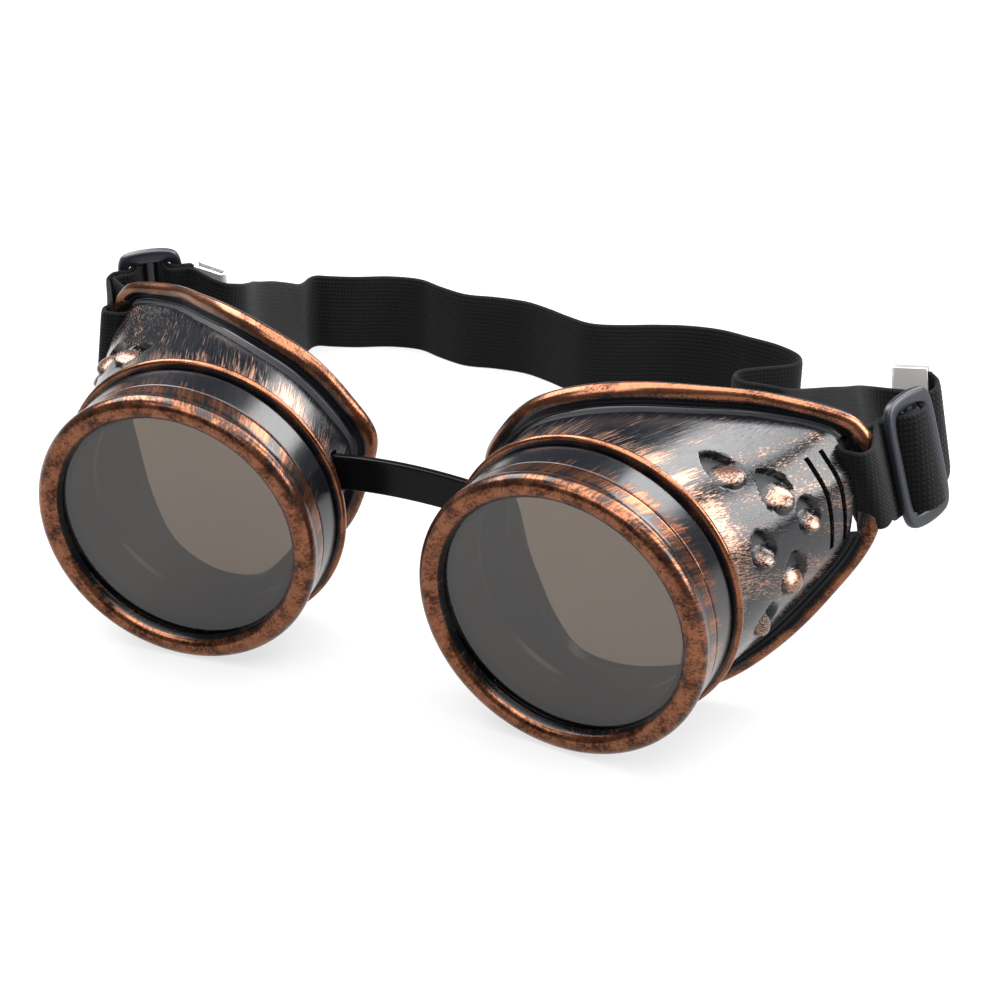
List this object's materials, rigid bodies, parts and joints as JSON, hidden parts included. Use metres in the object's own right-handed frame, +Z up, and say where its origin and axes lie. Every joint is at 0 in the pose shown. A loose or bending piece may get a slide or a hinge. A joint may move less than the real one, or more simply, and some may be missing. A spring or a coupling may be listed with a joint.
{
  "type": "steampunk goggles",
  "caption": "Round-lens goggles with antique copper cups, screw-on lens rings, a flexible nose bridge and a black elastic head band woven through slide buckles.",
  "frame": {"origin": "on the table, under the middle of the whole object's bounding box", "axes": "-Y the way the cups look, +X to the right cup as seen from the front, +Z up"},
  "size_m": [0.1892, 0.167, 0.0637],
  "materials": {
    "cup": "black moulded plastic with dry-brushed antique copper paint",
    "screw_ring": "black moulded plastic with dry-brushed antique copper paint",
    "lens": "grey-brown tint",
    "gasket": "matte",
    "bridge": "glossy black flexible plastic",
    "band": "black ribbed elastic webbing",
    "buckle": "satin dark blue-grey",
    "tip": "bright plated sheet"
  },
  "bodies": {
    "left_cup": {"left_cup": "cup", "left_lens_gasket": "gasket", "nose_bridge": "bridge", "strap_back": "band", "left_strap_loop": "band", "left_strap_tip": "tip"},
    "right_cup": {"right_cup": "cup", "right_lens_gasket": "gasket", "right_strap_loop": "band", "right_strap_tip": "tip"},
    "left_lens": {"left_lens": "lens"},
    "right_lens": {"right_lens": "lens"},
    "left_ring": {"left_screw_ring": "screw_ring"},
    "right_ring": {"right_screw_ring": "screw_ring"},
    "left_buckle": {"left_slide_buckle": "buckle"},
    "right_buckle": {"right_slide_buckle": "buckle"}
  },
  "joints": [
    {"name": "bridge_flex", "type": "hinge", "parent": "left_cup", "child": "right_cup", "pos_m": [-0.00146, -0.05865, 0.0382], "axis": [0, 0, 1], "range_deg": [-8, 8], "stiffness_Nm_per_rad": 0.05, "deforming": ["nose_bridge", "strap_back", "right_strap_loop"]},
    {"name": "left_lens_draw", "type": "slide", "parent": "left_cup", "child": "left_lens", "axis": [0.0973, -0.9928, -0.0698], "range_m": [0, 0.0045]},
    {"name": "left_ring_turn", "type": "hinge", "parent": "left_lens", "child": "left_ring", "pos_m": [-0.04127, -0.07805, 0.02893], "axis": [0.0973, -0.9928, -0.0698], "range_deg": [0, 540]},
    {"name": "left_buckle_slide", "type": "slide", "parent": "left_cup", "child": "left_buckle", "axis": [-0.8079, -0.587, -0.0523], "range_m": [0, 0.003], "deforming": ["left_strap_loop"]},
    {"name": "right_lens_draw", "type": "slide", "parent": "right_cup", "child": "right_lens", "axis": [-0.0973, -0.9928, -0.0698], "range_m": [0, 0.0045]},
    {"name": "right_ring_turn", "type": "hinge", "parent": "right_lens", "child": "right_ring", "pos_m": [0.03834, -0.07805, 0.02893], "axis": [-0.0973, -0.9928, -0.0698], "range_deg": [0, 540]},
    {"name": "right_buckle_slide", "type": "slide", "parent": "right_cup", "child": "right_buckle", "axis": [-0.3732, -0.9237, -0.0872], "range_m": [0, 0.003], "deforming": ["right_strap_loop"]}
  ],
  "couplings": [
    {"joint": "left_lens_draw", "follows": "left_ring_turn", "m_per_rad": 0.000477},
    {"joint": "right_lens_draw", "follows": "right_ring_turn", "m_per_rad": 0.000477}
  ]
}
